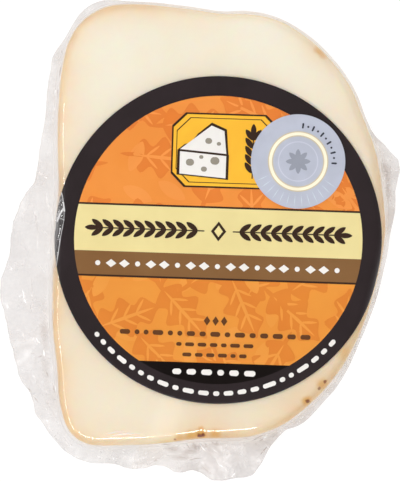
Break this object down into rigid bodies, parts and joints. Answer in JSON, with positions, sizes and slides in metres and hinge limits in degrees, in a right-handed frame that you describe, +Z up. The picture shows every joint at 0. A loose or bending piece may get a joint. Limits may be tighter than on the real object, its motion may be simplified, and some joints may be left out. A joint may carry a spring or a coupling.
{
  "type": "vacuum-packed smoked provolone chunk",
  "caption": "Chunk of smoked provolone in a clear vacuum bag with a crumpled margin, a round printed label and a small round foil seal.",
  "frame": {"origin": "middle of the whole pack's footprint, on the surface that it lies on", "axes": "+Z up, out of the labelled face; +Y towards the top of the label; +X to the label's right, so the cheese's straight wall is on the -X side"},
  "size_m": [0.0934, 0.1124, 0.0263],
  "materials": {
    "cheese": "waxy ivory cut face, tan smoked rind",
    "film": "clear crumpled vacuum film",
    "label": "satin printed sticker, near-black rim, orange field, cream and brown bands",
    "foil": "satin silver foil sticker with fine rays"
  },
  "bodies": {
    "root": {"cheese": "cheese", "bag": "film", "label": "label", "seal": "foil"}
  },
  "joints": []
}
